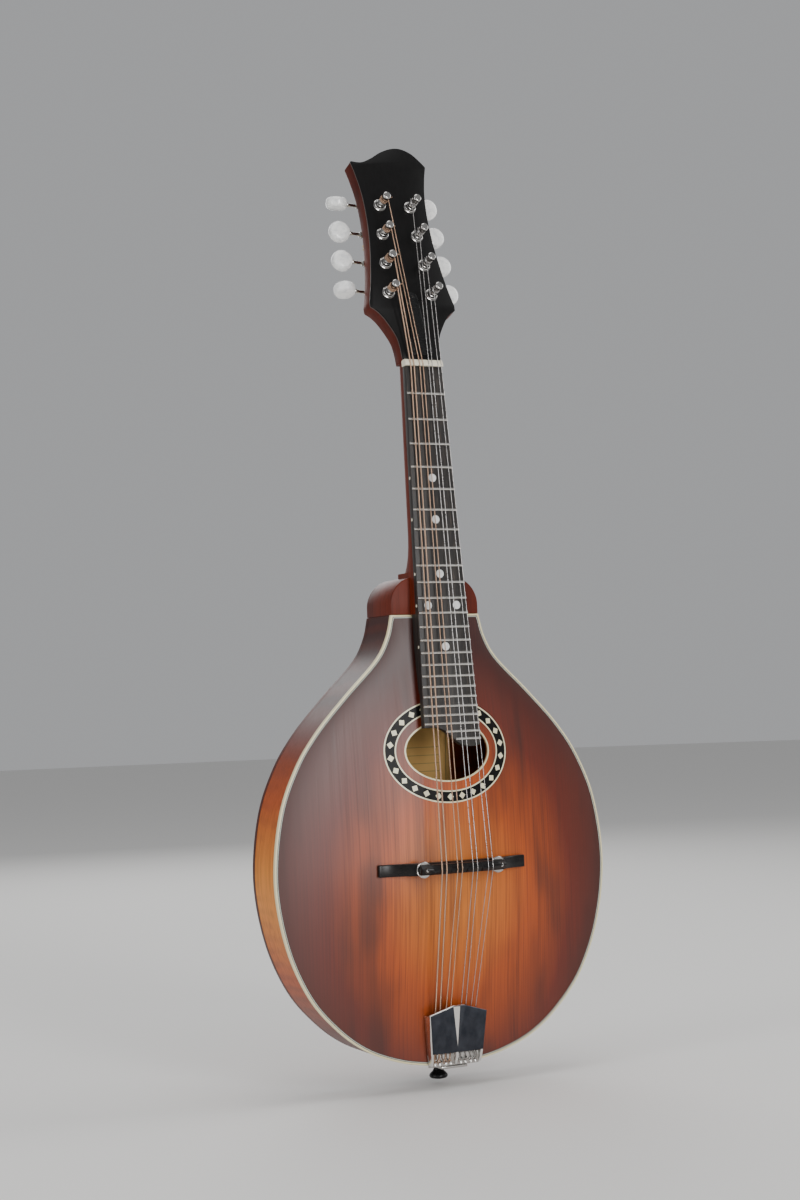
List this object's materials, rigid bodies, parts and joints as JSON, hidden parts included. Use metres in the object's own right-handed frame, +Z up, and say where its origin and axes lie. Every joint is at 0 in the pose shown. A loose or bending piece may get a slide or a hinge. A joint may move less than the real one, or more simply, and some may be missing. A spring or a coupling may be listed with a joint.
{
  "type": "mandolin",
  "caption": "Flat-bodied oval-hole mandolin: arched top and back, slim bound body, angled neck, paired strings over a height-adjustable bridge, worm-geared tuning machines.",
  "frame": {"origin": "on the centre plane, level with the nut's front edge, in the plane of the body's front edge", "axes": "+Z up the body and neck towards the headstock, -Y out of the front, +X towards the treble side"},
  "size_m": [0.254, 0.1015, 0.6719],
  "materials": {
    "inner_wood": "bare, unfinished",
    "back_wood": "satin red-brown stain",
    "side_wood": "satin red-brown stain",
    "top_wood": "satin sunburst, amber to red-brown",
    "neck_wood": "satin red-brown stain",
    "ebony": "oiled, dark",
    "black_plastic": "satin black",
    "bone": "polished",
    "cream_binding": "scraped and polished",
    "pearl_button": "pearloid",
    "tuner_metal": "nickel plate",
    "tailpiece_metal": "nickel plate, brushed face",
    "bridge_metal": "nickel plate",
    "rod_steel": "plain",
    "bronze_string": "phosphor bronze winding on steel",
    "steel_string": "plain steel wire"
  },
  "bodies": {
    "body": {"back_lining": "inner_wood", "back_plate": "back_wood", "bridge_base": "ebony", "bridge_stud_bass": "bridge_metal", "bridge_stud_treble": "bridge_metal", "end_pin": "black_plastic", "fingerboard": "ebony", "fingerboard_riser": "neck_wood", "headstock_veneer": "black_plastic", "neck": "neck_wood", "neck_block": "inner_wood", "nut": "bone", "rim": "side_wood", "rosette": "ebony", "soundhole_binding": "cream_binding", "string_1": "bronze_string", "string_2": "bronze_string", "string_3": "bronze_string", "string_4": "bronze_string", "string_5": "steel_string", "string_6": "steel_string", "string_7": "steel_string", "string_8": "steel_string", "tail_block": "inner_wood", "tailpiece": "tailpiece_metal", "top_binding": "cream_binding", "top_brace": "inner_wood", "top_lining": "inner_wood", "top_plate": "top_wood", "truss_rod": "rod_steel", "truss_rod_cover": "black_plastic", "tuner_plate_bass": "tuner_metal", "tuner_plate_treble": "tuner_metal"},
    "post_1": {"string_post_1": "tuner_metal"},
    "tuner_1": {"worm_shaft_1": "tuner_metal", "tuner_button_1": "pearl_button"},
    "post_2": {"string_post_2": "tuner_metal"},
    "tuner_2": {"worm_shaft_2": "tuner_metal", "tuner_button_2": "pearl_button"},
    "post_3": {"string_post_3": "tuner_metal"},
    "tuner_3": {"worm_shaft_3": "tuner_metal", "tuner_button_3": "pearl_button"},
    "post_4": {"string_post_4": "tuner_metal"},
    "tuner_4": {"worm_shaft_4": "tuner_metal", "tuner_button_4": "pearl_button"},
    "post_8": {"string_post_8": "tuner_metal"},
    "tuner_8": {"worm_shaft_8": "tuner_metal", "tuner_button_8": "pearl_button"},
    "post_7": {"string_post_7": "tuner_metal"},
    "tuner_7": {"worm_shaft_7": "tuner_metal", "tuner_button_7": "pearl_button"},
    "post_6": {"string_post_6": "tuner_metal"},
    "tuner_6": {"worm_shaft_6": "tuner_metal", "tuner_button_6": "pearl_button"},
    "post_5": {"string_post_5": "tuner_metal"},
    "tuner_5": {"worm_shaft_5": "tuner_metal", "tuner_button_5": "pearl_button"},
    "saddle": {"bridge_saddle": "ebony"},
    "wheel_bass": {"thumbwheel_bass": "bridge_metal"},
    "wheel_treble": {"thumbwheel_treble": "bridge_metal"}
  },
  "joints": [
    {"name": "tuner_1_turn", "type": "hinge", "parent": "body", "child": "tuner_1", "pos_m": [-0.01726, 0.03982, 0.05851], "axis": [-0.9977, 0.0191, 0.0653], "continuous": true},
    {"name": "post_1_turn", "type": "hinge", "parent": "body", "child": "post_1", "pos_m": [-0.0179, 0.01876, 0.0549], "axis": [0, -0.9598, 0.2807], "continuous": true},
    {"name": "tuner_2_turn", "type": "hinge", "parent": "body", "child": "tuner_2", "pos_m": [-0.01565, 0.04645, 0.08121], "axis": [-0.9977, 0.0191, 0.0653], "continuous": true},
    {"name": "post_2_turn", "type": "hinge", "parent": "body", "child": "post_2", "pos_m": [-0.01629, 0.02539, 0.07759], "axis": [0, -0.9598, 0.2807], "continuous": true},
    {"name": "tuner_3_turn", "type": "hinge", "parent": "body", "child": "tuner_3", "pos_m": [-0.01404, 0.05309, 0.1039], "axis": [-0.9977, 0.0191, 0.0653], "continuous": true},
    {"name": "post_3_turn", "type": "hinge", "parent": "body", "child": "post_3", "pos_m": [-0.01468, 0.03203, 0.10029], "axis": [0, -0.9598, 0.2807], "continuous": true},
    {"name": "tuner_4_turn", "type": "hinge", "parent": "body", "child": "tuner_4", "pos_m": [-0.01243, 0.05972, 0.1266], "axis": [-0.9977, 0.0191, 0.0653], "continuous": true},
    {"name": "post_4_turn", "type": "hinge", "parent": "body", "child": "post_4", "pos_m": [-0.01306, 0.03866, 0.12298], "axis": [0, -0.9598, 0.2807], "continuous": true},
    {"name": "tuner_5_turn", "type": "hinge", "parent": "body", "child": "tuner_5", "pos_m": [0.01043, 0.05972, 0.1266], "axis": [0.9977, 0.0191, 0.0653], "continuous": true},
    {"name": "post_5_turn", "type": "hinge", "parent": "body", "child": "post_5", "pos_m": [0.01106, 0.03866, 0.12298], "axis": [0, -0.9598, 0.2807], "continuous": true},
    {"name": "tuner_6_turn", "type": "hinge", "parent": "body", "child": "tuner_6", "pos_m": [0.01204, 0.05309, 0.1039], "axis": [0.9977, 0.0191, 0.0653], "continuous": true},
    {"name": "post_6_turn", "type": "hinge", "parent": "body", "child": "post_6", "pos_m": [0.01268, 0.03203, 0.10029], "axis": [0, -0.9598, 0.2807], "continuous": true},
    {"name": "tuner_7_turn", "type": "hinge", "parent": "body", "child": "tuner_7", "pos_m": [0.01365, 0.04645, 0.08121], "axis": [0.9977, 0.0191, 0.0653], "continuous": true},
    {"name": "post_7_turn", "type": "hinge", "parent": "body", "child": "post_7", "pos_m": [0.01429, 0.02539, 0.07759], "axis": [0, -0.9598, 0.2807], "continuous": true},
    {"name": "tuner_8_turn", "type": "hinge", "parent": "body", "child": "tuner_8", "pos_m": [0.01526, 0.03982, 0.05851], "axis": [0.9977, 0.0191, 0.0653], "continuous": true},
    {"name": "post_8_turn", "type": "hinge", "parent": "body", "child": "post_8", "pos_m": [0.0159, 0.01876, 0.0549], "axis": [0, -0.9598, 0.2807], "continuous": true},
    {"name": "saddle_height", "type": "slide", "parent": "body", "child": "saddle", "axis": [0, -1, 0], "range_m": [-0.0008, 0.0012], "deforming": ["string_1", "string_2", "string_3", "string_4", "string_5", "string_6", "string_7", "string_8"]},
    {"name": "thumbwheel_bass_turn", "type": "hinge", "parent": "saddle", "child": "wheel_bass", "pos_m": [-0.0283, -0.0251, -0.35066], "axis": [0, -1, 0], "range_deg": [-416.4, 622.1]},
    {"name": "thumbwheel_treble_turn", "type": "hinge", "parent": "saddle", "child": "wheel_treble", "pos_m": [0.0283, -0.0251, -0.35066], "axis": [0, -1, 0], "range_deg": [-416.4, 622.1]}
  ],
  "couplings": [
    {"joint": "post_1_turn", "follows": "tuner_1_turn", "ratio": -0.066667},
    {"joint": "post_2_turn", "follows": "tuner_2_turn", "ratio": -0.066667},
    {"joint": "post_3_turn", "follows": "tuner_3_turn", "ratio": -0.066667},
    {"joint": "post_4_turn", "follows": "tuner_4_turn", "ratio": -0.066667},
    {"joint": "post_5_turn", "follows": "tuner_5_turn", "ratio": 0.066667},
    {"joint": "post_6_turn", "follows": "tuner_6_turn", "ratio": 0.066667},
    {"joint": "post_7_turn", "follows": "tuner_7_turn", "ratio": 0.066667},
    {"joint": "post_8_turn", "follows": "tuner_8_turn", "ratio": 0.066667},
    {"joint": "thumbwheel_bass_turn", "follows": "saddle_height", "rad_per_m": 8976},
    {"joint": "thumbwheel_treble_turn", "follows": "saddle_height", "rad_per_m": 8976}
  ]
}
